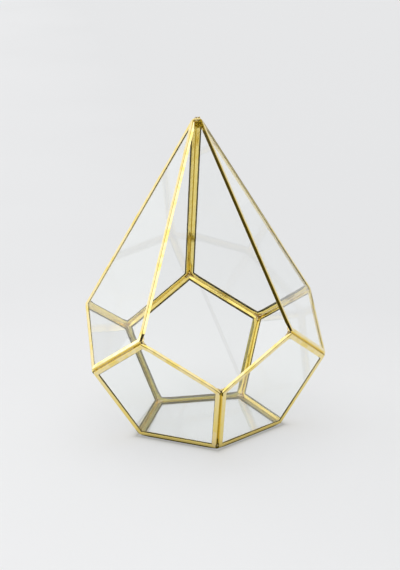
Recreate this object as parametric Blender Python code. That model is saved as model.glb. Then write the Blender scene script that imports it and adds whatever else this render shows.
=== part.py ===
"""Geometric glass terrarium: a teardrop of flat clear panes held in folded brass channel.

The lower part is the lower part of a regular dodecahedron, so every corner of a pane is 108 degrees
and every two panes meet at the same angle. Above the shoulder the five upper faces run on, still
flat, until they meet over the middle. Four of those kites are glazed. The front one is the open mouth.

Metres, +Z up, -Y to the front. The channels under the base lie on Z = 0.
"""

import math

import bmesh
import bpy
from mathutils import Matrix, Vector

# Driving dimensions
PANE_SIDE = 0.070
CHANNEL_DEPTH = 0.0022
SHEET = 0.0003
OUTER_WING = 0.0036
INNER_WING = 0.0028
FOLD_RADIUS = 0.0005
FOLD_STEPS = 3
VALLEY_DEPTH = 0.0004
GLASS = 0.0013
GLASS_EDGE_GAP = 0.0003
MITRE_GAP = 0.0003
POINT_CUT = 0.0030
POINT_PANE_CUT = 0.0040
POINT_SOLDER_CUT = 0.0026
SOLDER_RADIUS = 0.0036
SOLDER_GAP = 0.00025
SOLDER_FINENESS = 3
SOLDER_CREASE = math.radians(30)
POINT_SOLDER_RADIUS = 0.0049
POINT_SOLDER_DROP = 0.0062
WELD = 1e-7

# The solid that the inner faces of the channels follow
SIDES = 5
STEP = 2 * math.pi / SIDES
GOLDEN = (1 + math.sqrt(5)) / 2
BASE_RADIUS = PANE_SIDE / (2 * math.sin(STEP / 2))
WAIST_RADIUS = GOLDEN * BASE_RADIUS
FLOOR = CHANNEL_DEPTH
WAIST_HEIGHT = FLOOR + BASE_RADIUS
SHOULDER_HEIGHT = FLOOR + WAIST_RADIUS
POINT_HEIGHT = WAIST_HEIGHT + (SHOULDER_HEIGHT - WAIST_HEIGHT) / (1 - math.cos(STEP / 2))
MIDDLE = Vector((0, 0, FLOOR + BASE_RADIUS * GOLDEN**2 / 2))
HALF_FOLD = math.atan(GOLDEN)
PANE_CORNER = math.radians(108)
POINT_CORNER = math.radians(36)

# Places round the axis, anticlockwise from the front: posts stand between walls
POSTS = ("front", "right", "back_right", "back_left", "left")
WALLS = ("front_right", "right", "back", "left", "front_left")
FRONT = -math.pi / 2
POINT = ("point", 0)

BRASS = ("brass", (0.78, 0.57, 0.20, 1.0), 0.18, 1.0)
SOLDER = ("plated_solder", (0.74, 0.56, 0.26, 1.0), 0.30, 1.0)
CLEAR = ("clear_glass", (0.93, 0.96, 0.95, 0.25), 0.02, 0.0)


def clear_scene():
    for thing in list(bpy.data.objects):
        bpy.data.objects.remove(thing, do_unlink=True)


def material(name, colour, roughness, metallic):
    made = bpy.data.materials.new(name)
    made.use_nodes = True
    shader = made.node_tree.nodes["Principled BSDF"]
    shader.inputs["Base Color"].default_value = colour
    shader.inputs["Roughness"].default_value = roughness
    shader.inputs["Metallic"].default_value = metallic
    shader.inputs["Alpha"].default_value = colour[3]
    return made


def corner(key):
    """Where a named corner of the inner solid lies. The names are rings with a place number."""
    ring, place = key
    if ring == "point":
        return Vector((0, 0, POINT_HEIGHT))
    radius, height, turn = {
        "base": (BASE_RADIUS, FLOOR, place),
        "waist": (WAIST_RADIUS, WAIST_HEIGHT, place),
        "shoulder": (WAIST_RADIUS, SHOULDER_HEIGHT, place + 0.5),
    }[ring]
    angle = FRONT + turn * STEP
    return Vector((radius * math.cos(angle), radius * math.sin(angle), height))


def ring_key(ring, place):
    return (ring, place % SIDES)


def face_corners():
    """Each flat face by name, with its corners anticlockwise seen from outside."""
    faces = {"base": [ring_key("base", -place) for place in range(SIDES)]}
    for place, wall in enumerate(WALLS):
        faces["wall_" + wall] = [
            ring_key("base", place),
            ring_key("base", place + 1),
            ring_key("waist", place + 1),
            ring_key("shoulder", place),
            ring_key("waist", place),
        ]
    for place, post in enumerate(POSTS):
        faces["roof_" + post] = [
            ring_key("waist", place),
            ring_key("shoulder", place),
            POINT,
            ring_key("shoulder", place - 1),
        ]
    return faces


FACES = face_corners()
MOUTH = FACES["roof_front"]


def edge_corners():
    """Each brass channel by name, with the two corners that it runs between."""
    edges = {}
    for place, (wall, post) in enumerate(zip(WALLS, POSTS)):
        low, high = ring_key("base", place), ring_key("waist", place)
        shoulder = ring_key("shoulder", place)
        edges["came_base_" + wall] = (low, ring_key("base", place + 1))
        edges["came_post_" + post] = (low, high)
        edges["came_waist_" + wall + "_1"] = (high, shoulder)
        edges["came_waist_" + wall + "_2"] = (shoulder, ring_key("waist", place + 1))
        edges["came_ridge_" + wall] = (shoulder, POINT)
    return edges


def face_normal(corners):
    first, second, third = (corner(key) for key in corners[:3])
    return (second - first).cross(third - second).normalized()


def pane_outline(corners, centre, across, up, inset):
    """The face's outline in its own plane, moved in by inset from every side."""
    flat = [Vector(((corner(key) - centre).dot(across), (corner(key) - centre).dot(up))) for key in corners]
    moved = []
    for index, here in enumerate(flat):
        before = (flat[index - 1] - here).normalized()
        after = (flat[(index + 1) % len(flat)] - here).normalized()
        half_angle = before.angle(after) / 2
        moved.append(here + (before + after).normalized() * (inset / math.sin(half_angle)))
    return moved


def flat_curve(name, outline, thickness):
    """A 2D outline, filled and extruded to both sides of its plane."""
    curve = bpy.data.curves.new(name, "CURVE")
    curve.dimensions = "2D"
    curve.fill_mode = "BOTH"
    curve.extrude = thickness / 2
    line = curve.splines.new("POLY")
    line.points.add(len(outline) - 1)
    for point, place in zip(line.points, outline):
        point.co = (place.x, place.y, 0, 1)
    line.use_cyclic_u = True
    return bpy.data.objects.new(name, curve)


def frame(across, up, out, origin):
    """A placing matrix from three unit axes and an origin."""
    turn = Matrix((across, up, out)).transposed()
    return Matrix.Translation(origin) @ turn.to_4x4()


def make_pane(face, corners, collection, root, finish):
    """A flat pane, short of the channel's web all round and midway between its wings.

    A roof pane also stops short of the point, where the brass is cut off level.
    """
    centre = sum((corner(key) for key in corners), Vector()) / len(corners)
    out = face_normal(corners)
    across = (corner(corners[0]) - centre).normalized()
    up = out.cross(across)
    outline = pane_outline(corners, centre, across, up, SHEET + GLASS_EDGE_GAP)
    shape = as_mesh(flat_curve("glass_" + face, outline, GLASS))
    placing = frame(across, up, out, centre + out * (CHANNEL_DEPTH / 2))
    if POINT in corners:
        cut_level(shape, placing, POINT_PANE_CUT)
    pane = mesh_object("glass_" + face, shape)
    pane.matrix_world = placing
    keep(pane, collection, root, finish)


def half_profile():
    """One side of the channel's section, from the inner corner round the slot to the outer fold.

    Along is the distance into the pane from its edge, out the distance from its inner face.
    """
    points = [
        (0, 0),
        (INNER_WING, 0),
        (INNER_WING, SHEET),
        (SHEET, SHEET),
        (SHEET, CHANNEL_DEPTH - SHEET),
        (OUTER_WING, CHANNEL_DEPTH - SHEET),
        (OUTER_WING, CHANNEL_DEPTH),
    ]
    for step in range(FOLD_STEPS + 1):
        turn = math.pi / 2 * (1 + step / FOLD_STEPS)
        along = FOLD_RADIUS * (1 + math.cos(turn))
        out = CHANNEL_DEPTH - FOLD_RADIUS * (1 - math.sin(turn))
        points.append((along, out))
    return points


def folded(along, out):
    """A point of the section, turned to where its pane lies beside the fold."""
    x = along * math.sin(HALF_FOLD) + out * math.cos(HALF_FOLD)
    y = -along * math.cos(HALF_FOLD) + out * math.sin(HALF_FOLD)
    return Vector((x, y))


def channel_section(double):
    """The whole section: two slots back to back, or the one slot of the mouth's rim."""
    side = [folded(along, out) for along, out in half_profile()]
    if not double:
        return side
    side.append(folded(0, VALLEY_DEPTH))
    other = [Vector((-point.x, point.y)) for point in reversed(side[1:])]
    return side + other


def as_mesh(thing):
    """The evaluated curve as a mesh with its caps welded on."""
    bpy.context.scene.collection.objects.link(thing)
    graph = bpy.context.evaluated_depsgraph_get()
    mesh = bpy.data.meshes.new_from_object(thing.evaluated_get(graph))
    bpy.data.objects.remove(thing, do_unlink=True)
    shape = bmesh.new()
    shape.from_mesh(mesh)
    bpy.data.meshes.remove(mesh)
    bmesh.ops.remove_doubles(shape, verts=shape.verts, dist=WELD)
    return shape


def keep_side(shape, point, normal):
    """Cuts the shape with a plane, keeps what lies along the normal and closes the cut."""
    whole = shape.verts[:] + shape.edges[:] + shape.faces[:]
    bmesh.ops.bisect_plane(shape, geom=whole, dist=WELD, plane_co=point, plane_no=normal, clear_inner=True)
    rim = [edge for edge in shape.edges if edge.is_boundary]
    bmesh.ops.holes_fill(shape, edges=rim, sides=0)


def cut_level(shape, placing, drop):
    """Cuts off what stands higher than the given drop below the point, once the shape is placed."""
    shape.transform(placing)
    keep_side(shape, Vector((0, 0, POINT_HEIGHT - drop)), Vector((0, 0, -1)))
    shape.transform(placing.inverted())


def mitre(shape, end, inward, corner_angle):
    """Cuts one end so that each half stops at the middle line of its pane's corner."""
    for side in (1, -1):
        into_pane = Vector((side * math.sin(HALF_FOLD), -math.cos(HALF_FOLD), 0))
        normal = inward * math.sin(corner_angle / 2) - into_pane * math.cos(corner_angle / 2)
        keep_side(shape, end + normal * (MITRE_GAP / 2), normal)


def make_channel(name, start_key, end_key, collection, root, finish):
    """A length of brass channel along one edge, mitred at both ends."""
    start, end = corner(start_key), corner(end_key)
    along = (end - start).normalized()
    out = (start - MIDDLE) - along * (start - MIDDLE).dot(along)
    out.normalize()
    across = out.cross(along)
    rim = start_key in MOUTH and end_key in MOUTH
    mouth_side = sum((corner(key) for key in MOUTH), Vector()) / len(MOUTH) - start
    if rim and across.dot(mouth_side) > 0:
        start, end, along, across = end, start, -along, -across
        start_key, end_key = end_key, start_key
    length = (end - start).length
    shape = as_mesh(flat_curve(name, channel_section(not rim), length + PANE_SIDE))
    bmesh.ops.translate(shape, verts=shape.verts, vec=(0, 0, length / 2))
    for key, height, inward in ((start_key, 0, 1), (end_key, length, -1)):
        angle = POINT_CORNER if key == POINT else PANE_CORNER
        mitre(shape, Vector((0, 0, height)), Vector((0, 0, inward)), angle)
    placing = frame(across, out, along, start)
    if POINT in (start_key, end_key):
        cut_level(shape, placing, POINT_CUT)
    thing = mesh_object(name, shape)
    thing.matrix_world = placing
    keep(thing, collection, root, finish)


def mesh_object(name, shape):
    """A new object from a closed shape, with every face looking out."""
    bmesh.ops.recalc_face_normals(shape, faces=shape.faces)
    if shape.calc_volume(signed=True) < 0:
        bmesh.ops.reverse_faces(shape, faces=shape.faces)
    mesh = bpy.data.meshes.new(name)
    shape.to_mesh(mesh)
    shape.free()
    return bpy.data.objects.new(name, mesh)


def make_solder(name, key, centre_drop, radius, collection, root, finish):
    """A lump of solder inside one corner, clear of the wings that meet there."""
    place = corner(key)
    inward = (MIDDLE - place).normalized()
    shape = bmesh.new()
    bmesh.ops.create_icosphere(shape, subdivisions=SOLDER_FINENESS, radius=radius)
    bmesh.ops.translate(shape, verts=shape.verts, vec=inward * centre_drop)
    for corners in FACES.values():
        if key in corners:
            normal = -face_normal(corners)
            keep_side(shape, normal * SOLDER_GAP, normal)
    if key == POINT:
        cut_level(shape, Matrix.Translation(place), POINT_SOLDER_CUT)
    lump = mesh_object(name, shape)
    lump.location = place
    lump.data.shade_smooth()
    lump.data.set_sharp_from_angle(angle=SOLDER_CREASE)
    keep(lump, collection, root, finish)


def keep(thing, collection, root, finish):
    """Files a finished piece under the terrarium, with its material."""
    thing.data.materials.append(finish)
    thing.parent = root
    collection.objects.link(thing)


def build():
    clear_scene()
    brass, solder, clear = (material(*finish) for finish in (BRASS, SOLDER, CLEAR))
    collection = bpy.data.collections.new("geometric_terrarium")
    bpy.context.scene.collection.children.link(collection)
    root = bpy.data.objects.new("terrarium_origin", None)
    collection.objects.link(root)

    for face, corners in FACES.items():
        if corners is not MOUTH:
            make_pane(face, corners, collection, root, clear)
    for name, (start, end) in edge_corners().items():
        make_channel(name, start, end, collection, root, brass)
    for place, (wall, post) in enumerate(zip(WALLS, POSTS)):
        for ring, label in (("base", post), ("waist", post), ("shoulder", wall)):
            make_solder(f"solder_{ring}_{label}", (ring, place), 0, SOLDER_RADIUS, collection, root, solder)
    make_solder("solder_point", POINT, POINT_SOLDER_DROP, POINT_SOLDER_RADIUS, collection, root, solder)


build()
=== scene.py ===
"""Looks of the geometric glass terrarium: brass channel folded round each pane, clear glass and solder.

Metres, +Z up, -Y to the front, in the frame of the CAD model. Each pane has its own channel, folded
round its edge with rounded corners. Two channels lie back to back along every edge that two panes
share, with solder in the groove between them. The mouth's edges have a single channel.
"""

import math
from typing import NamedTuple

import bmesh
import bpy
from mathutils import Matrix, Vector, noise


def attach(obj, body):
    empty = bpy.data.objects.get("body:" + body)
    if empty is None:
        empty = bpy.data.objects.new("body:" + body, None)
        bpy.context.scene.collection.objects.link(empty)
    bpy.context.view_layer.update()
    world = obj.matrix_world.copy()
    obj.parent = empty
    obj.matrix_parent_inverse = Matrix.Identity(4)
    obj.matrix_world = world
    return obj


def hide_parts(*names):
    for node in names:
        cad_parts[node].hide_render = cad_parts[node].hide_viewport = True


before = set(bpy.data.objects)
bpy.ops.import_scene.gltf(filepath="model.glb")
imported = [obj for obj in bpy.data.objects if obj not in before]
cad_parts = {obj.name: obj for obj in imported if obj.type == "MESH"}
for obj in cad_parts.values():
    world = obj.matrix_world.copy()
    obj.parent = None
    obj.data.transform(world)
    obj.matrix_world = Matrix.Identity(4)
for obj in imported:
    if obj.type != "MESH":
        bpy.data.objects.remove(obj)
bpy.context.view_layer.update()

# Driving dimensions, as in the CAD
PANE_SIDE = 0.070
CHANNEL_DEPTH = 0.0022
SHEET = 0.0003

# How far the two wings of a channel reach over the pane: inside and outside
WINGS = (0.0026, 0.0036)
ROOF_WINGS = (0.0034, 0.0036)
FRONT_WINGS = (0.0042, 0.0036)
RIGHT_WINGS = (0.0030, 0.0035)
BACK_WINGS = (0.0031, 0.0040)
BACK_BASE_WINGS = (0.0016, 0.0036)
BACK_FLOOR_WINGS = (0.0017, 0.0037)
BACK_WAIST_WINGS = (0.0032, 0.0041)
BACK_LEFT_POST_WINGS = (0.0018, 0.0034)
BACK_RIGHT_POST_WINGS = (0.0018, 0.0040)
BACK_LEFT_ROOF_WINGS = (0.0028, 0.0032)
BACK_RIGHT_ROOF_WINGS = (0.0021, 0.0036)

# Half the seam between two channels
SPARE = 0.00014
# The radii of a channel's inner and outer folds. The mouth's channels are folded more tightly, and the
# outer folds along the base more roundly.
FOLDS = (0.00040, 0.00075)
RIM_FOLDS = (0.00028, 0.00038)
BASE_FOLDS = (0.00040, 0.00110)
# How far the wings lean onto the glass, and how much less and more they lean at a side's two ends
LEAN = math.radians(3.6)
RIM_LEAN = math.radians(1)
TWIST = math.radians(3)
# How far the mouth's channels stand out past their edge, and their inner wings off the glass
RIM_OUT = 0.00110
RIM_SINK = 0.00045
# How far the lower side of the base pane's channels spreads outward, under the walls
BASE_SPLAY = 0.0014
# The rounding of the wings' edges, and the number of strips in it, in a fold and across a wing
LIP = 0.0001
LIP_STEPS = 2
FOLD_STEPS = 5
WING_STEPS = 4
# Up to this share of the outer fold's radius a strip belongs to the web or its fold, not to a wing
WEB_SHARE = 0.6

# The rounded corners of a pane's outline, and the distance between stations along its sides
CORNER_RADIUS = 0.0009
POINT_RADIUS = 0.0018
LEAST_RADIUS = 0.0001
CORNER_STEPS = 4
STATION = 0.0018

# The unevenness of hand-folded sheet: of a wing's height and of its edge. It sets in over a few
# stations from each corner.
WING_WAVE = 0.00009
EDGE_WAVE = 0.00008
WAVE_LENGTH = 0.011
FREE_STEPS = 4
# Seeds of the unevenness: from edge to edge, from a channel to its neighbour and from a wing's height
# to its edge, and how a seed moves the noise along its third axis
SEED_STEPS = (17.3, 3)
EDGE_SEED = 7
SEED_DRIFT = 0.37
# Edges that bend by more than this are shaded as sharp
CREASE = math.radians(32)

# The solid that the inner faces of the channels follow
SIDES = 5
STEP = 2 * math.pi / SIDES
GOLDEN = (1 + math.sqrt(5)) / 2
BASE_RADIUS = PANE_SIDE / (2 * math.sin(STEP / 2))
WAIST_RADIUS = GOLDEN * BASE_RADIUS
FLOOR = CHANNEL_DEPTH
WAIST_HEIGHT = FLOOR + BASE_RADIUS
SHOULDER_HEIGHT = FLOOR + WAIST_RADIUS
POINT_HEIGHT = WAIST_HEIGHT + (SHOULDER_HEIGHT - WAIST_HEIGHT) / (1 - math.cos(STEP / 2))
MIDDLE = Vector((0, 0, FLOOR + BASE_RADIUS * GOLDEN**2 / 2))

# Places round the axis, anticlockwise from the front
POSTS = ("front", "right", "back_right", "back_left", "left")
WALLS = ("front_right", "right", "back", "left", "front_left")
FRONT = -math.pi / 2
POINT = ("point", 0)

# The photograph's camera, fitted to the object's corners
IMAGE_HEIGHT = 570
FOCAL_PIXELS = 1551
SENSOR = 36
CAMERA_AZIMUTH = math.radians(-6.56)
CAMERA_ELEVATION = math.radians(16.72)
CAMERA_ROLL = math.radians(-2.04)
CAMERA_DISTANCE = 1.2410
LOOK_RIGHT = -0.00204
LOOK_HEIGHT = 0.1150 + FLOOR


def corner(key):
    """Where a named corner of the inner solid lies. The names are rings with a place number."""
    ring, place = key
    if ring == "point":
        return Vector((0, 0, POINT_HEIGHT))
    radius, height, turn = {
        "base": (BASE_RADIUS, FLOOR, place),
        "waist": (WAIST_RADIUS, WAIST_HEIGHT, place),
        "shoulder": (WAIST_RADIUS, SHOULDER_HEIGHT, place + 0.5),
    }[ring]
    angle = FRONT + turn * STEP
    return Vector((radius * math.cos(angle), radius * math.sin(angle), height))


def ring_key(ring, place):
    return (ring, place % SIDES)


def face_corners():
    """Each glazed face by name, with its corners anticlockwise seen from outside."""
    faces = {"base": [ring_key("base", -place) for place in range(SIDES)]}
    for place, wall in enumerate(WALLS):
        faces["wall_" + wall] = [
            ring_key("base", place),
            ring_key("base", place + 1),
            ring_key("waist", place + 1),
            ring_key("shoulder", place),
            ring_key("waist", place),
        ]
    for place, post in enumerate(POSTS[1:], 1):
        faces["roof_" + post] = [
            ring_key("waist", place),
            ring_key("shoulder", place),
            POINT,
            ring_key("shoulder", place - 1),
        ]
    return faces


def edge_corners():
    """Each brass channel by its CAD name, with the two corners that it runs between."""
    edges = {}
    for place, (wall, post) in enumerate(zip(WALLS, POSTS)):
        low, high = ring_key("base", place), ring_key("waist", place)
        shoulder = ring_key("shoulder", place)
        edges["came_base_" + wall] = (low, ring_key("base", place + 1))
        edges["came_post_" + post] = (low, high)
        edges["came_waist_" + wall + "_1"] = (high, shoulder)
        edges["came_waist_" + wall + "_2"] = (shoulder, ring_key("waist", place + 1))
        edges["came_ridge_" + wall] = (shoulder, POINT)
    return edges


FACES = face_corners()
EDGES = edge_corners()


def arc(centre, radius, start, end, steps):
    """Points of an arc in a plane, from one angle to another."""
    turns = [start + (end - start) * step / steps for step in range(steps + 1)]
    return [(centre[0] + radius * math.cos(turn), centre[1] + radius * math.sin(turn)) for turn in turns]


def spread(start, end, count):
    """Points strictly between two points."""
    return [
        tuple(a + (b - a) * step / count for a, b in zip(start, end))
        for step in range(1, count)
    ]


def channel_profile(wings, folds, lean):
    """The section of one channel as (into the pane, out from its inner face), and its sides' parts."""
    depth, lip = CHANNEL_DEPTH, LIP
    inner_wing, outer_wing = wings
    low, high = folds
    inside = arc((low, low), low, math.pi, 1.5 * math.pi, FOLD_STEPS)
    inside += [(low + lip, 0)]
    inside += spread((low + lip, 0), (inner_wing - lip, 0), WING_STEPS)
    inside += arc((inner_wing - lip, lip), lip, -math.pi / 2, 0, LIP_STEPS)
    slot = arc((inner_wing - lip, SHEET - lip), lip, 0, math.pi / 2, LIP_STEPS)
    slot += spread((inner_wing - lip, SHEET), (SHEET, SHEET), WING_STEPS)
    slot += [(SHEET, SHEET), (SHEET, depth - SHEET)]
    slot += spread((SHEET, depth - SHEET), (outer_wing - lip, depth - SHEET), WING_STEPS)
    slot += arc((outer_wing - lip, depth - SHEET + lip), lip, -math.pi / 2, 0, LIP_STEPS)
    outside = arc((outer_wing - lip, depth - lip), lip, 0, math.pi / 2, LIP_STEPS)
    outside += spread((outer_wing - lip, depth), (high + lip, depth), WING_STEPS)
    outside += [(high + lip, depth)]
    outside += arc((high, depth - high), high, math.pi / 2, math.pi, FOLD_STEPS)
    outside += [(0, depth - high - lip), (0, low + lip)]
    parts = ["inside"] * len(inside) + ["slot"] * (len(slot) - 1) + ["outside"] * (len(outside) + 1)
    points = []
    for number, (along, height) in enumerate(inside + slot + outside):
        if parts[number] != "slot" and along < high * WEB_SHARE and height > low / 2:
            parts[number] = "fold" if height > depth - high else "web"
        if height > depth / 2:
            height -= max(0, along - high) * math.tan(lean)
        else:
            height += max(0, along - low) * math.tan(lean)
        points.append((along, height))
    return points, parts


class Outline:
    """A face's outline in its own plane, moved in from its edge and with rounded corners."""

    def __init__(self, corners):
        first, second, third = (corner(key) for key in corners[:3])
        self.corners = corners
        self.origin = first
        self.across = (second - first).normalized()
        self.out = (second - first).cross(third - second).normalized()
        self.up = self.out.cross(self.across)
        self.flat = [self.to_plane(corner(key)) for key in corners]

    def to_plane(self, place):
        return Vector(((place - self.origin).dot(self.across), (place - self.origin).dot(self.up)))

    def to_space(self, flat, height):
        return self.origin + self.across * flat.x + self.up * flat.y + self.out * height

    def run(self, index):
        """One side as a vector, from its first corner to its second."""
        return self.flat[(index + 1) % len(self.flat)] - self.flat[index]

    def turn_at(self, index, inset):
        """Centre and radius of a rounded corner, and the direction of its bisector."""
        here = self.flat[index]
        before = (self.flat[index - 1] - here).normalized()
        after = self.run(index).normalized()
        half = before.angle(after) / 2
        bisector = (before + after).normalized()
        full = POINT_RADIUS if self.corners[index] == POINT else CORNER_RADIUS
        radius = max(full - inset, LEAST_RADIUS)
        return here + bisector * ((inset + radius) / math.sin(half)), radius, bisector

    def side(self, index, inset, stations):
        """Points along one side, from the middle of its first corner to the middle of its second."""
        run = self.run(index).normalized()
        outward = math.atan2(-run.x, run.y)
        points = []
        for place, ends in ((index, (0, 1)), ((index + 1) % len(self.flat), (1, 0))):
            centre, radius, bisector = self.turn_at(place, inset)
            middle = math.atan2(-bisector.y, -bisector.x)
            swing = (outward - middle + math.pi) % (2 * math.pi) - math.pi
            start, end = (middle + swing * part for part in ends)
            points.append([Vector(p) for p in arc(centre, radius, start, end, CORNER_STEPS)])
        straight = [Vector(p) for p in spread(points[0][-1], points[1][0], stations)]
        return points[0] + straight + points[1]


OUTLINES = {face: Outline(corners) for face, corners in FACES.items()}


# The materials of a brass length, by number: the second is painted shade, the third a deeper gold painted for
# golden inter-reflection
PLAIN, SHADED, DEEP, SEAM, PIECE, OLIVE = range(6)
# The looks of the web and of its outer fold, by kind of edge. Along the base both are painted shade; on other
# shared edges both take the deeper gold painted for golden inter-reflection.
WEB_LOOKS = {"base": (SHADED, SHADED), "rim": (PLAIN, SEAM)}
OTHER_WEB_LOOKS = (DEEP, DEEP)
# The share of a post near each end where its web is painted in shade, and near its foot its solder too
SHADED_ENDS = 0.12

# The front post's left channel is pieced near its foot
PIECED = ("came_post_front", "wall_front_left")
PIECE_SHARE = 0.33
PIECE_STEP = 0.00007


class Side(NamedTuple):
    """How one side of a pane's channel is made: what it lies on, its shape, its looks and its unevenness."""

    outline: Outline
    index: int
    kind: str
    wings: tuple
    own_wings: tuple
    inside: int
    slot: int
    pieced: float
    seed: float


def wave(place, seed, scale):
    """A smooth unevenness between about -1 and 1."""
    return noise.noise(Vector((place / scale, seed, SEED_DRIFT * seed)))


def own_profile(side, share, free):
    """A side's own section at a share of its length, where it is free to twist from 0 to 1."""
    if side.kind == "rim":
        profile = channel_profile(side.own_wings, RIM_FOLDS, RIM_LEAN)[0]
        return [(x, y if y > CHANNEL_DEPTH / 2 else y - RIM_SINK) for x, y in profile]
    folds = BASE_FOLDS if side.kind == "base" else FOLDS
    return channel_profile(side.own_wings, folds, LEAN + TWIST * (2 * share - 1) * free)[0]


def channel_lines(shape, side, common):
    """The long lines of a channel as vertices from end to end, one line for each point of its section.

    At the corners the section is the one that all the pane's sides have in common.
    """
    outline = side.outline
    run = outline.run(side.index)
    inward = Vector((-run.y, run.x)).normalized()
    stations = round(run.length / STATION)
    sources = [outline.side(side.index, along + SPARE, stations) for along, _ in common]
    splay = BASE_SPLAY if outline is OUTLINES["base"] else 0
    out = RIM_OUT if side.kind == "rim" else 0
    last = len(sources[0]) - 1
    lines = [[] for _ in common]
    for number in range(last + 1):
        free = min(1, max(0, min(number, last - number) - CORNER_STEPS) / FREE_STEPS)
        share = number / last
        place = run.length * share
        points = zip(sources, lines, common, own_profile(side, share, free))
        for source, line, (shared_along, shared_height), (along, height) in points:
            outer = height > CHANNEL_DEPTH / 2
            reach = along / side.own_wings[outer]
            lift = abs(WING_WAVE * wave(place, side.seed + outer, WAVE_LENGTH)) * reach**2
            ripple = EDGE_WAVE * wave(place, side.seed + EDGE_SEED + outer, WAVE_LENGTH / 2) * reach**3
            shift = ripple + along - shared_along - out
            shift -= splay * max(0, height / CHANNEL_DEPTH) * (1 - min(1, reach))
            level = shared_height + (height - shared_height + (lift if outer else -lift)) * free
            if outer and share < side.pieced:
                level += PIECE_STEP
            line.append(shape.verts.new(outline.to_space(source[number] + inward * shift * free, level)))
    return lines


def add_channel(shape, side):
    """One side of a pane's channel as a closed body."""
    common, parts = channel_profile(side.wings, FOLDS, LEAN)
    lines = channel_lines(shape, side, common)
    web, fold = WEB_LOOKS.get(side.kind, OTHER_WEB_LOOKS)
    # The base's channels are painted in shade on their outer side too, for the contact shadow they mirror
    outside = SHADED if side.outline is OUTLINES["base"] else PLAIN
    looks = {"slot": side.slot, "inside": side.inside, "outside": outside, "web": web, "fold": fold}
    count = len(lines[0])
    foot = SHADED_ENDS * count if side.kind == "post" else 0
    pieced = side.pieced * (count - 1)
    for line, other, part in zip(lines, lines[1:] + lines[:1], parts):
        for place in range(count - 1):
            face = shape.faces.new((line[place], line[place + 1], other[place + 1], other[place]))
            face.material_index = looks[part]
            # Painted shade on a post's web and fold near its ends
            if part in ("web", "fold") and min(place, count - 1 - place) < foot:
                face.material_index = SHADED
            if part == "outside" and place + 1 < pieced:
                face.material_index = PIECE
    shape.faces.new([line[0] for line in lines])
    shape.faces.new([line[-1] for line in reversed(lines)])


# The solder along a seam: how far its ends are from the corners, the number of strips across it, the
# height of its inner side and how far the middle of that is sunk, and its unevenness
FILL_END = 0.0016
FILL_STEPS = 4
FILL_INNER = -0.00012
FILL_INNER_DIP = 0.00004
FILL_WAVE = 0.00006
FILL_WAVE_LENGTH = 0.004
FILL_SEED_STEP = 5.1
# Its outer side by kind of edge: half its width, its height and how far its middle is sunk, and the
# looks outside and inside. Other kinds are as on a post.
FILLS = {
    # The waist solder's inner side takes the deeper gold painted for inter-reflection
    "waist": (0.00018, 0.00026, 0.00010, SEAM, DEEP),
    "post": (0.00040, 0.00030, 0.00020, SEAM, SEAM),
}


def fill_section(half, height, dip):
    """The solder's section as (across the seam, out of the solid)."""
    steps = [2 * step / FILL_STEPS - 1 for step in range(FILL_STEPS + 1)]
    outer = [(half * step, height - dip * (1 - step**2)) for step in steps]
    inner = [(half * step, FILL_INNER + FILL_INNER_DIP * (1 - step**2)) for step in reversed(steps)]
    return outer + inner


def add_filler(shape, ends, placing, seed, kind):
    """The solder run along the seam between two channels: a slightly uneven strip on both sides."""
    half, height, dip, outside, inside = FILLS.get(kind, FILLS["post"])
    across, out = placing.col[0].to_3d(), placing.col[1].to_3d()
    start, end = (corner(key) for key in ends)
    along = (end - start).normalized()
    near, far = start + along * FILL_END, end - along * FILL_END
    count = round((far - near).length / STATION)
    section = fill_section(half, height, dip)
    rings = []
    for step in range(count + 1):
        place = near.lerp(far, step / count)
        lift = FILL_WAVE * wave(step * STATION, seed, FILL_WAVE_LENGTH)
        rings.append([shape.verts.new(place + across * x + out * (y + lift)) for x, y in section])
    for step, (ring, after) in enumerate(zip(rings, rings[1:])):
        for number in range(len(section)):
            other = (number + 1) % len(section)
            face = shape.faces.new((ring[number], ring[other], after[other], after[number]))
            face.material_index = outside if number < FILL_STEPS else inside
            # Painted shade on a post's solder near its foot
            if kind == "post" and step < SHADED_ENDS * count:
                face.material_index = SHADED
    for ring in (rings[0], list(reversed(rings[-1]))):
        shape.faces.new(ring).material_index = SEAM


def local_frame(ends):
    """A placing matrix on the middle of an edge: Z along it, Y out of the solid."""
    start, end = (corner(key) for key in ends)
    along = (end - start).normalized()
    out = (start - MIDDLE) - along * (start - MIDDLE).dot(along)
    out.normalize()
    across = out.cross(along)
    turn = Matrix((across, out, along)).transposed().to_4x4()
    return Matrix.Translation((start + end) / 2) @ turn


def finish_mesh(name, shape, placing, materials):
    """A new object from a shape in the part's frame, placed by its own matrix."""
    bmesh.ops.recalc_face_normals(shape, faces=shape.faces)
    shape.transform(placing.inverted())
    mesh = bpy.data.meshes.new(name)
    shape.to_mesh(mesh)
    shape.free()
    for material in materials:
        mesh.materials.append(material)
    mesh.shade_smooth()
    mesh.set_sharp_from_angle(angle=CREASE)
    thing = bpy.data.objects.new(name, mesh)
    bpy.context.scene.collection.objects.link(thing)
    thing.matrix_world = placing
    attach(thing, "root")
    return thing


# Faces whose channels are folded with other wings
FACE_WINGS = {
    "wall_front_left": FRONT_WINGS,
    "wall_front_right": FRONT_WINGS,
    "roof_left": ROOF_WINGS,
    "roof_right": ROOF_WINGS,
    "wall_back": BACK_WINGS,
    "roof_back_left": BACK_WINGS,
    "roof_back_right": BACK_WINGS,
    "wall_right": RIGHT_WINGS,
}
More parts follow.
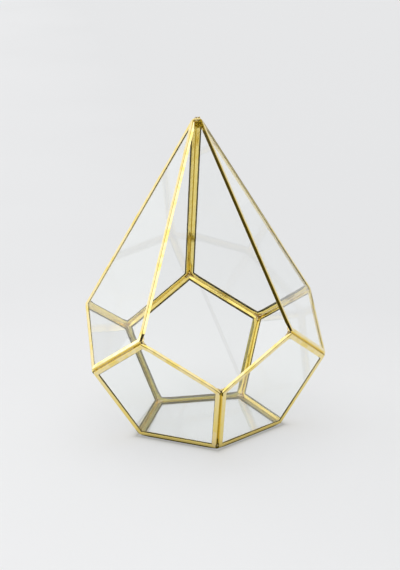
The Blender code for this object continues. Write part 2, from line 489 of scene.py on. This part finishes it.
# Single sides that differ again: by edge, or kind of edge, and face
SIDE_WINGS = {
    ("came_base_back", "base"): BACK_FLOOR_WINGS,
    ("came_base_back", "wall_back"): BACK_BASE_WINGS,
    ("came_post_back_left", "wall_back"): BACK_LEFT_POST_WINGS,
    ("came_post_back_right", "wall_back"): BACK_RIGHT_POST_WINGS,
    ("waist", "wall_back"): BACK_WAIST_WINGS,
    ("waist", "roof_back_right"): BACK_RIGHT_ROOF_WINGS,
    ("waist", "roof_back_left"): BACK_LEFT_ROOF_WINGS,
    ("base", "wall_right"): WINGS,
    ("waist", "wall_front_right"): ROOF_WINGS,
}
# Sides whose inner wings are olive
OLIVE_SIDES = (
    ("came_post_back_left", "wall_back"),
    ("came_post_back_left", "wall_left"),
    ("came_base_back", "wall_back"),
)
# Sides whose slots are olive too, and so lighter than the painted shade of the others
OLIVE_SLOTS = (("came_post_back_right", "wall_back"),)


def sides_along(ends):
    """The faces that border an edge, each with the number of its side there."""
    return [
        (face, index)
        for face, corners in FACES.items()
        for index, key in enumerate(corners)
        if {key, corners[(index + 1) % len(corners)]} == set(ends)
    ]


def make_side(name, kind, face, index, seed):
    """The choices for one side of one face's channel."""
    wings = FACE_WINGS.get(face, WINGS)
    return Side(
        outline=OUTLINES[face],
        index=index,
        kind=kind,
        wings=wings,
        own_wings=SIDE_WINGS.get((name, face), SIDE_WINGS.get((kind, face), wings)),
        # Slots, save the olive ones, are painted in shade; most inner wings take the deeper gold painted for
        # inter-reflection
        inside=OLIVE if face == "base" or (name, face) in OLIVE_SIDES else DEEP,
        slot=OLIVE if (name, face) in OLIVE_SLOTS else SHADED,
        pieced=PIECE_SHARE if (name, face) == PIECED else 0,
        seed=seed,
    )


def make_channels(materials):
    """Each edge's channels as one piece, which stands for that edge's CAD node."""
    edge_step, side_step = SEED_STEPS
    for number, (name, ends) in enumerate(EDGES.items()):
        shape = bmesh.new()
        found = sides_along(ends)
        kind = name.split("_")[1] if len(found) == 2 else "rim"
        for order, (face, index) in enumerate(found):
            seed = edge_step * number + side_step * order
            add_channel(shape, make_side(name, kind, face, index, seed))
        placing = local_frame(ends)
        if kind != "rim":
            add_filler(shape, ends, placing, FILL_SEED_STEP * number, kind)
        thing = finish_mesh("brass_" + name.removeprefix("came_"), shape, placing, materials)
        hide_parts(name)


# The colour mix node's sockets, which share their names with those of its other kinds
MIX_INPUTS = (0, 6, 7)
MIX_OUTPUT = 2


class Nodes:
    """Short ways to add and link the nodes of one material."""

    def __init__(self, tree):
        self.tree = tree
        self.tree.nodes.clear()

    def fill(self, socket, value):
        if isinstance(value, bpy.types.NodeSocket):
            self.tree.links.new(value, socket)
        else:
            socket.default_value = value

    def add(self, kind, **inputs):
        """A shader node. Its inputs are named with underscores for spaces."""
        node = self.tree.nodes.new("ShaderNode" + kind)
        for name, value in inputs.items():
            self.fill(node.inputs[name.replace("_", " ")], value)
        return node

    def math(self, operation, *values):
        node = self.add("Math")
        node.operation = operation
        for socket, value in zip(node.inputs, values):
            self.fill(socket, value)
        return node.outputs[0]

    def dot(self, first, second):
        node = self.add("VectorMath")
        node.operation = "DOT_PRODUCT"
        self.fill(node.inputs[0], first)
        self.fill(node.inputs[1], second)
        return node.outputs["Value"]

    def ranged(self, value, low, high, new_low, new_high):
        """A value that goes smoothly from one limit to the other, and stays there."""
        node = self.add("MapRange", Value=value, From_Min=low, From_Max=high, To_Min=new_low, To_Max=new_high)
        node.interpolation_type = "SMOOTHSTEP"
        return node.outputs["Result"]

    def noise(self, where, scale, detail=2.0):
        return self.add("TexNoise", Vector=where, Scale=scale, Detail=detail).outputs["Fac"]

    def mix(self, factor, first, second):
        """A blend of two colours."""
        node = self.add("Mix")
        node.data_type = "RGBA"
        for number, value in zip(MIX_INPUTS, (factor, first, second)):
            self.fill(node.inputs[number], value)
        return node.outputs[MIX_OUTPUT]

    def blend(self, factor, first, second):
        """A blend of two shaders."""
        node = self.add("MixShader")
        for socket, value in zip(node.inputs, (factor, first, second)):
            self.fill(socket, value)
        return node.outputs[0]

    def bump(self, height, strength, distance):
        return self.add("Bump", Strength=strength, Distance=distance, Height=height).outputs["Normal"]

    def split(self, vector):
        """A vector's parts, by axis."""
        return self.add("SeparateXYZ", Vector=vector).outputs

    def position(self):
        return self.add("NewGeometry").outputs["Position"]

    def own_place(self, scale=(1, 1, 1)):
        """The object's own coordinates, stretched along its axes."""
        where = self.add("TexCoord").outputs["Object"]
        return self.add("Mapping", Vector=where, Scale=scale).outputs["Vector"]


def new_material(name):
    material = bpy.data.materials.new(name)
    material.use_nodes = True
    return material, Nodes(material.node_tree)


def show(nodes, surface):
    nodes.add("OutputMaterial", Surface=surface)


def show_metal(nodes, colour, rough, normal=None):
    shader = nodes.add("BsdfPrincipled", Base_Color=colour, Roughness=rough, Metallic=1.0)
    if normal is not None:
        nodes.fill(shader.inputs["Normal"], normal)
    show(nodes, shader.outputs[0])


# Brass sheet: its clean colour, and its deeper gold for wear and for the painted golden sheen near the foot
POLISHED = ((0.94, 0.80, 0.43, 1), (0.91, 0.71, 0.18, 1))
# In the grooves and on the inner wings the sheet is a deeper gold, painted for the golden light that bounces
# between brass faces
GROOVE = ((0.92, 0.75, 0.26, 1), (0.88, 0.68, 0.16, 1))
PIECED_END = ((0.94, 0.78, 0.43, 1), (0.92, 0.74, 0.34, 1))
# Waves per metre of its clouds, of the streaks from rolling and of the marks across it
CLOUD_WAVES = 180
STREAK_WAVES = (2200, 2200, 35)
MARK_WAVES = (60, 60, 1500)
# It takes the deeper gold near the foot, as a painted golden sheen, and as wear where the clouds are at their
# strongest
FOOT_SHEEN_FULL_BELOW = 0.015
NO_FOOT_SHEEN_ABOVE = 0.070
MOST_FOOT_SHEEN = 0.85
WORN_CLOUDS = (0.40, 0.75)
LEAST_ROUGH = 0.03
CLOUD_ROUGH = 0.06
STREAK_ROUGH = 0.04
MARK_HEIGHT = 0.6
RELIEF = 0.00005
RELIEF_STRENGTH = 0.10


def brass_material(name, clean, worn_and_sheen_colour):
    """Polished brass sheet: rolled along its length, faintly hazed, with fine marks from folding, worn in
    clouds and painted a deeper gold near the foot as golden sheen.
    """
    material, nodes = new_material(name)
    cloud = nodes.noise(nodes.own_place(), CLOUD_WAVES, detail=3)
    streak = nodes.noise(nodes.own_place(STREAK_WAVES), scale=1)
    marks = nodes.noise(nodes.own_place(MARK_WAVES), scale=1)
    height = nodes.split(nodes.position())["Z"]
    # Painted golden sheen: the deeper gold grows towards the foot
    low = nodes.ranged(height, FOOT_SHEEN_FULL_BELOW, NO_FOOT_SHEEN_ABOVE, MOST_FOOT_SHEEN, 0)
    wear_and_foot_sheen = nodes.math("MAXIMUM", low, nodes.ranged(cloud, *WORN_CLOUDS, 0, 1))
    haze = nodes.math("MULTIPLY_ADD", cloud, CLOUD_ROUGH, LEAST_ROUGH)
    rough = nodes.math("MULTIPLY_ADD", streak, STREAK_ROUGH, haze)
    relief = nodes.math("MULTIPLY_ADD", marks, MARK_HEIGHT, streak)
    show_metal(nodes, nodes.mix(wear_and_foot_sheen, clean, worn_and_sheen_colour), rough, nodes.bump(relief, RELIEF_STRENGTH, RELIEF))
    return material


# Unpolished brass: its dark and its light colour, and its roughness
# The first is painted shade: near-black for the slots, the base's channels and the posts' ends
SHADED_BRASS = ((0.08, 0.062, 0.001, 1), (0.20, 0.160, 0.006, 1), 0.45)
SEAM_BRASS = ((0.34, 0.225, 0.008, 1), (0.68, 0.50, 0.06, 1), 0.22)
OLIVE_BRASS = ((0.30, 0.26, 0.055, 1), (0.62, 0.54, 0.17, 1), 0.28)
TARNISH_WAVES = 300


def rough_material(name, dark, light, roughness):
    """Unpolished brass, such as the sheet's faces in the slot, painted near-black there as shade, and the
    bottom of a seam.
    """
    material, nodes = new_material(name)
    cloud = nodes.noise(nodes.own_place(), TARNISH_WAVES, detail=4)
    show_metal(nodes, nodes.mix(cloud, dark, light), roughness)
    return material


# Solder: its plated and its burnt colour, where the clouds turn it from one to the other, and the painted
# shade of the hole at the corner, on the part that faces out of the solid
SOLDER_PLATED = (0.84, 0.69, 0.36, 1)
SOLDER_BURNT = (0.34, 0.20, 0.08, 1)
BURNT_CLOUDS = (0.45, 0.70)
SOLDER_WAVES = 420
GRAIN_WAVES = 1900
PIT_SHADE = (0.02, 0.014, 0.006, 1)
PIT_RADIUS = 0.0010
PIT_DEPTH = 0.0004
SOLDER_LEAST_ROUGH = 0.12
SOLDER_CLOUD_ROUGH = 0.25
GRAIN_HEIGHT = 0.35
SOLDER_RELIEF = 0.0004
SOLDER_RELIEF_STRENGTH = 0.2


def solder_material():
    """Brass-plated solder: lumpy, a little duller and browner than the sheet, with painted shade where it
    faces out through the corner's hole.
    """
    material, nodes = new_material("plated_solder")
    plain = nodes.own_place()
    cloud = nodes.noise(plain, SOLDER_WAVES, detail=4)
    grain = nodes.noise(plain, GRAIN_WAVES, detail=3)
    colour = nodes.mix(nodes.ranged(cloud, *BURNT_CLOUDS, 0, 1), SOLDER_PLATED, SOLDER_BURNT)
    # Painted shade: near-black on the lump's face that shows through the hole at the corner
    side = nodes.split(plain)
    square = nodes.math("MULTIPLY", side["X"], side["X"])
    square = nodes.math("MULTIPLY_ADD", side["Y"], side["Y"], square)
    near = nodes.ranged(nodes.math("SQRT", square), PIT_RADIUS / 2, PIT_RADIUS, 1, 0)
    pit_shade = nodes.math("MULTIPLY", near, nodes.ranged(side["Z"], -PIT_DEPTH, 0, 0, 1))
    rough = nodes.math("MULTIPLY_ADD", cloud, SOLDER_CLOUD_ROUGH, SOLDER_LEAST_ROUGH)
    height = nodes.math("MULTIPLY_ADD", grain, GRAIN_HEIGHT, cloud)
    relief = nodes.bump(height, SOLDER_RELIEF_STRENGTH, SOLDER_RELIEF)
    show_metal(nodes, nodes.mix(pit_shade, colour, PIT_SHADE), rough, relief)
    return material


# Glass: its own faint tint and that of its shadow, its refraction, and the haze of handling
GLASS_TINT = (0.985, 0.995, 0.99, 1)
GLASS_SHADE = (0.992, 0.995, 0.994, 1)
GLASS_IOR = 1.52
HAZE_WAVES = 35
HAZE_CLOUDS = (0.45, 0.75)
MOST_HAZE = 0.03


def glass_material():
    """Clear sheet glass with the faintest haze. Light for shadows passes straight through."""
    material, nodes = new_material("clear_glass")
    cloud = nodes.noise(nodes.own_place(), HAZE_WAVES, detail=3)
    rough = nodes.ranged(cloud, *HAZE_CLOUDS, 0, MOST_HAZE)
    clear = nodes.add("BsdfPrincipled", Base_Color=GLASS_TINT, Roughness=rough, IOR=GLASS_IOR)
    nodes.fill(clear.inputs["Transmission Weight"], 1.0)
    through = nodes.add("BsdfTransparent", Color=GLASS_SHADE)
    shadow = nodes.add("LightPath").outputs["Is Shadow Ray"]
    show(nodes, nodes.blend(shadow, clear.outputs[0], through.outputs[0]))
    return material


# Lumps of solder in the corners: how far in they are, their radius, their tails along the seams and how
# narrow these are, and how flat they are on the outside
LUMP_IN = 0.0007
LUMP_RADIUS = 0.00155
LUMP_TAIL = 0.0026
TAIL_WIDTH = 0.045
LUMP_FLAT = 0.42
# The least height of any point of a lump, and how finely their balls are divided
LUMP_FLOOR = 0.0001
LUMP_DETAIL = 5
# How uneven the lumps are, the share of the finer waves in it, and both waves on a ball of radius 1
LUMP_ROUGH = 0.24
LUMP_FINE = 0.4
LUMP_WAVES = 3.1
LUMP_FINE_WAVES = 9.3
LUMP_SEED = 300


def make_lump(name, key, solder):
    """A lump run into the inside of one corner, with tails along the seams that meet there."""
    place = corner(key)
    out = (place - MIDDLE).normalized()
    seams = []
    for ends in EDGES.values():
        if key in ends:
            other = ends[0] if ends[1] == key else ends[1]
            seams.append((corner(other) - place).normalized())
    centre = place - out * LUMP_IN
    seed = place * LUMP_SEED
    shape = bmesh.new()
    bmesh.ops.create_icosphere(shape, subdivisions=LUMP_DETAIL, radius=1)
    for vert in shape.verts:
        way = vert.co.normalized()
        reach = LUMP_RADIUS * (1 - LUMP_FLAT * max(0, way.dot(out)))
        reach += sum(LUMP_TAIL * math.exp(-(1 - way.dot(seam)) / TAIL_WIDTH) for seam in seams)
        reach *= 1 + LUMP_ROUGH * noise.noise(way * LUMP_WAVES + seed)
        reach *= 1 + LUMP_FINE * LUMP_ROUGH * noise.noise(way * LUMP_FINE_WAVES + seed)
        vert.co = centre + way * reach
        vert.co.z = max(vert.co.z, LUMP_FLOOR)
    turn = out.to_track_quat("Z", "Y").to_matrix().to_4x4()
    return finish_mesh(name, shape, Matrix.Translation(place) @ turn, (solder,))


def make_lumps(solder):
    """The solder in every corner but the point."""
    for place, (wall, post) in enumerate(zip(WALLS, POSTS)):
        for ring, label in (("base", post), ("waist", post), ("shoulder", wall)):
            lump = make_lump(f"lump_{ring}_{label}", ring_key(ring, place), solder)
            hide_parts(f"solder_{ring}_{label}")


# The materials of the solder at the point, by number
POINT_POLISHED, POINT_PLATED, POINT_SEAM = range(3)
# That solder, where five channels end: a bar across the front, a nub on the bar, a lump behind it and
# three runs down the front right ridge. Each has its look, half its size, and its middle from the point.
POINT_PARTS = (
    (POINT_POLISHED, (0.0029, 0.0013, 0.0011), (0.0002, -0.0023, -0.0027)),
    (POINT_PLATED, (0.0006, 0.0006, 0.0008), (0.0019, -0.0020, -0.0014)),
    (POINT_SEAM, (0.0027, 0.0022, 0.0026), (0.0006, 0.0004, -0.0074)),
    (POINT_SEAM, (0.0015, 0.0012, 0.0024), (0.0025, -0.0033, -0.0050)),
    (POINT_SEAM, (0.0013, 0.0012, 0.0026), (0.0036, -0.0048, -0.0080)),
    (POINT_SEAM, (0.0010, 0.0010, 0.0026), (0.0046, -0.0062, -0.0110)),
)
POINT_FINE = 0.3
POINT_WAVES = 2.7
POINT_FINE_WAVES = 8.1


def make_point(materials):
    """The solder that joins the ends of the five upper channels."""
    shape = bmesh.new()
    for look, half, middle in POINT_PARTS:
        ball = bmesh.ops.create_icosphere(shape, subdivisions=LUMP_DETAIL, radius=1)
        for vert in ball["verts"]:
            way = vert.co.normalized()
            reach = 1 + LUMP_ROUGH * noise.noise(way * POINT_WAVES)
            reach += POINT_FINE * LUMP_ROUGH * noise.noise(way * POINT_FINE_WAVES)
            spot = Vector(size * part * reach for size, part in zip(half, way))
            vert.co = corner(POINT) + Vector(middle) + spot
            for face in vert.link_faces:
                face.material_index = look
    lump = finish_mesh("lump_point", shape, Matrix.Translation(corner(POINT)), materials)
    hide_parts("solder_point")


def glaze(glass):
    """The CAD panes keep their shape and get the glass."""
    for name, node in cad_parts.items():
        if name.startswith("glass_"):
            node.data.materials.clear()
            node.data.materials.append(glass)


# What surrounds the object, each as the direction of its middle, its half width where it is full and
# where it ends, in degrees, and its brightness
ROOM = (
    ((-158, 76), 22, 60, 1.25),
    ((136, 10), 20, 45, 1.06),
    ((129.5, 4.5), 2.0, 4.2, 2.0),
    ((40, 4), 8, 15, 0.32),
    ((-32, 12), 14, 28, 1.5),
    ((-87, 29), 2.5, 5.5, 1.5),
)
ROOM_BASE = 0.84
BACKDROP = (0.83, 0.83, 0.83, 1)

# The open front of the tent, past which the room is unlit: its angles in degrees, and its colour
OPENING_AZIMUTH = -112
OPENING_FULL = 60
OPENING_END = 72
OPENING_TOP = 25
OPENING_TOP_FULL = 19
OPENING_COLOUR = (0.060, 0.050, 0.008, 1)

# The limits between rays that weren't mirrored and rays that were: at a surface and in the world
MIRRORED = 0.5
WORLD_MIRRORED = 1.5


def direction(azimuth, elevation):
    """A unit vector, with the azimuth anticlockwise from +X."""
    azimuth, elevation = math.radians(azimuth), math.radians(elevation)
    flat = math.cos(elevation)
    return (flat * math.cos(azimuth), flat * math.sin(azimuth), math.sin(elevation))


def reflections(nodes, path):
    """How often a ray has been reflected, and one more than that in the world's own shading."""
    return nodes.math("SUBTRACT", path["Ray Depth"], path["Transmission Depth"])


def towards(nodes, where, middle, full, end):
    """1 within an angle of a direction, falling to 0 at a wider angle."""
    limits = (math.cos(math.radians(end)), math.cos(math.radians(full)))
    return nodes.ranged(nodes.dot(where, direction(*middle)), *limits, 0, 1)


def make_room():
    """A pale studio tent, open at the front. Seen directly or through glass it is plain."""
    world = bpy.data.worlds.new("studio_tent")
    bpy.context.scene.world = world
    world.use_nodes = True
    nodes = Nodes(world.node_tree)
    where = nodes.add("TexCoord").outputs["Generated"]
    bright = ROOM_BASE
    for middle, full, end, level in ROOM:
        change = nodes.math("SUBTRACT", level, bright)
        bright = nodes.math("MULTIPLY_ADD", towards(nodes, where, middle, full, end), change, bright)
    limits = (math.sin(math.radians(OPENING_TOP_FULL)), math.sin(math.radians(OPENING_TOP)))
    below = nodes.ranged(nodes.split(where)["Z"], *limits, 1, 0)
    front = towards(nodes, where, (OPENING_AZIMUTH, 0), OPENING_FULL, OPENING_END)
    grey = nodes.add("CombineColor", Red=bright, Green=bright, Blue=bright)
    room = nodes.mix(nodes.math("MULTIPLY", front, below), grey.outputs[0], OPENING_COLOUR)
    path = nodes.add("LightPath").outputs
    looked_at = nodes.math("MAXIMUM", path["Is Camera Ray"], path["Is Transmission Ray"])
    unmirrored = nodes.math("LESS_THAN", reflections(nodes, path), WORLD_MIRRORED)
    plain = nodes.math("MULTIPLY", looked_at, unmirrored)
    shine = nodes.add("Background", Color=nodes.mix(plain, room, BACKDROP))
    nodes.add("OutputWorld", Surface=shine.outputs[0])


# The floor: half its side, its colours, and the ranges over which its painted light falloff dims it to the
# right and to the back, with how much it dims there
FLOOR_HALF = 12
FLOOR_LIGHT = (0.437, 0.441, 0.447, 1)
FLOOR_DIM = (0.335, 0.338, 0.344, 1)
DIM_RIGHT = (-0.25, 0.55, 0, 0.85)
DIM_BACK = (-0.02, 0.5, 0, 0.55)
FLOOR_CLOUD = 0.3
FLOOR_CLOUD_WAVES = 3
FLOOR_ROUGH = 0.9
GLOW_COLOUR = (0.985, 0.99, 1.0, 1)
FLOOR_GLOW = 0.42
# The painted contact shadow, a dark line where the base meets the floor: how dark it is, how far it
# reaches on both sides, and how far its middle is from the axis, square to each side of the base
CONTACT_SHADOW = 0.6
CONTACT_REACH = 0.0024
CONTACT_EDGE = 0.0510
# In front of this the floor is unlit to what mirrors it, as the tent is open there
FLOOR_FRONT = -0.34
FLOOR_FRONT_FADE = 0.03
UNLIT = (0.02, 0.02, 0.02, 1)


def floor_glow(nodes, position):
    """The strength of the floor's glow, less along the sides of the base as a painted contact shadow."""
    edge = 0
    for number in range(SIDES):
        facing = nodes.dot(position, direction(math.degrees(FRONT + (number + 0.5) * STEP), 0))
        edge = nodes.math("MAXIMUM", facing, edge)
    # Painted contact shadow: the glow dips along each side of the base
    gap = nodes.math("ABSOLUTE", nodes.math("SUBTRACT", edge, CONTACT_EDGE))
    contact_shadow = nodes.math("EXPONENT", nodes.math("DIVIDE", gap, -CONTACT_REACH))
    return nodes.math("MULTIPLY", nodes.math("MULTIPLY_ADD", contact_shadow, -CONTACT_SHADOW, 1), FLOOR_GLOW)


def floor_material():
    """Pale sheet that the tent's light fills, with an even glow that softens the shadows on it, a painted
    contact shadow along the base, and painted light falloff that dims it to the right and to the back.
    """
    material, nodes = new_material("pale_floor")
    position = nodes.position()
    place = nodes.split(position)
    cloud = nodes.noise(nodes.own_place(), FLOOR_CLOUD_WAVES)
    # Painted light falloff: darker to the right and to the back
    aside = nodes.ranged(place["X"], *DIM_RIGHT)
    away = nodes.ranged(place["Y"], *DIM_BACK)
    dim = nodes.math("MULTIPLY_ADD", cloud, FLOOR_CLOUD, nodes.math("ADD", aside, away))
    colour = nodes.mix(dim, FLOOR_LIGHT, FLOOR_DIM)
    lit = nodes.add("BsdfPrincipled", Base_Color=colour, Roughness=FLOOR_ROUGH)
    nodes.fill(lit.inputs["Emission Color"], GLOW_COLOUR)
    nodes.fill(lit.inputs["Emission Strength"], floor_glow(nodes, position))
    beyond = nodes.ranged(place["Y"], FLOOR_FRONT - FLOOR_FRONT_FADE, FLOOR_FRONT, 1, 0)
    path = nodes.add("LightPath").outputs
    mirrored = nodes.math("GREATER_THAN", reflections(nodes, path), MIRRORED)
    unseen = nodes.math("MULTIPLY", nodes.math("MULTIPLY", beyond, mirrored), path["Is Glossy Ray"])
    unlit = nodes.add("BsdfDiffuse", Color=UNLIT)
    show(nodes, nodes.blend(unseen, lit.outputs[0], unlit.outputs[0]))
    return material


def make_floor():
    """A plain pale sheet that reaches out of sight."""
    shape = bmesh.new()
    bmesh.ops.create_grid(shape, x_segments=1, y_segments=1, size=FLOOR_HALF)
    mesh = bpy.data.meshes.new("floor")
    shape.to_mesh(mesh)
    shape.free()
    mesh.materials.append(floor_material())
    floor = bpy.data.objects.new("floor", mesh)
    bpy.context.scene.collection.objects.link(floor)


def make_camera():
    """The photograph's view, with its slight roll."""
    az, el, roll = CAMERA_AZIMUTH, CAMERA_ELEVATION, CAMERA_ROLL
    back = Vector((math.sin(az) * math.cos(el), -math.cos(az) * math.cos(el), math.sin(el)))
    level = Vector((math.cos(az), math.sin(az), 0))
    upright = back.cross(level)
    right = level * math.cos(roll) + upright * math.sin(roll)
    up = upright * math.cos(roll) - level * math.sin(roll)
    eye = level * LOOK_RIGHT + Vector((0, 0, LOOK_HEIGHT)) + back * CAMERA_DISTANCE
    lens = bpy.data.cameras.new("camera")
    lens.sensor_fit = "VERTICAL"
    lens.sensor_height = SENSOR
    lens.lens = FOCAL_PIXELS * SENSOR / IMAGE_HEIGHT
    camera = bpy.data.objects.new("camera", lens)
    bpy.context.scene.collection.objects.link(camera)
    camera.matrix_world = Matrix.Translation(eye) @ Matrix((right, up, back)).transposed().to_4x4()
    bpy.context.scene.camera = camera


bpy.context.scene.view_settings.view_transform = "Standard"
make_camera()
make_room()
make_floor()

polished = brass_material("polished_brass", *POLISHED)
groove = brass_material("groove_brass", *GROOVE)
pieced = brass_material("pieced_brass", *PIECED_END)
shaded = rough_material("shaded_brass", *SHADED_BRASS)
seam = rough_material("seam_brass", *SEAM_BRASS)
olive = rough_material("olive_brass", *OLIVE_BRASS)
plated = solder_material()
make_channels((polished, shaded, groove, seam, pieced, olive))
make_lumps(plated)
make_point((polished, plated, seam))
glaze(glass_material())
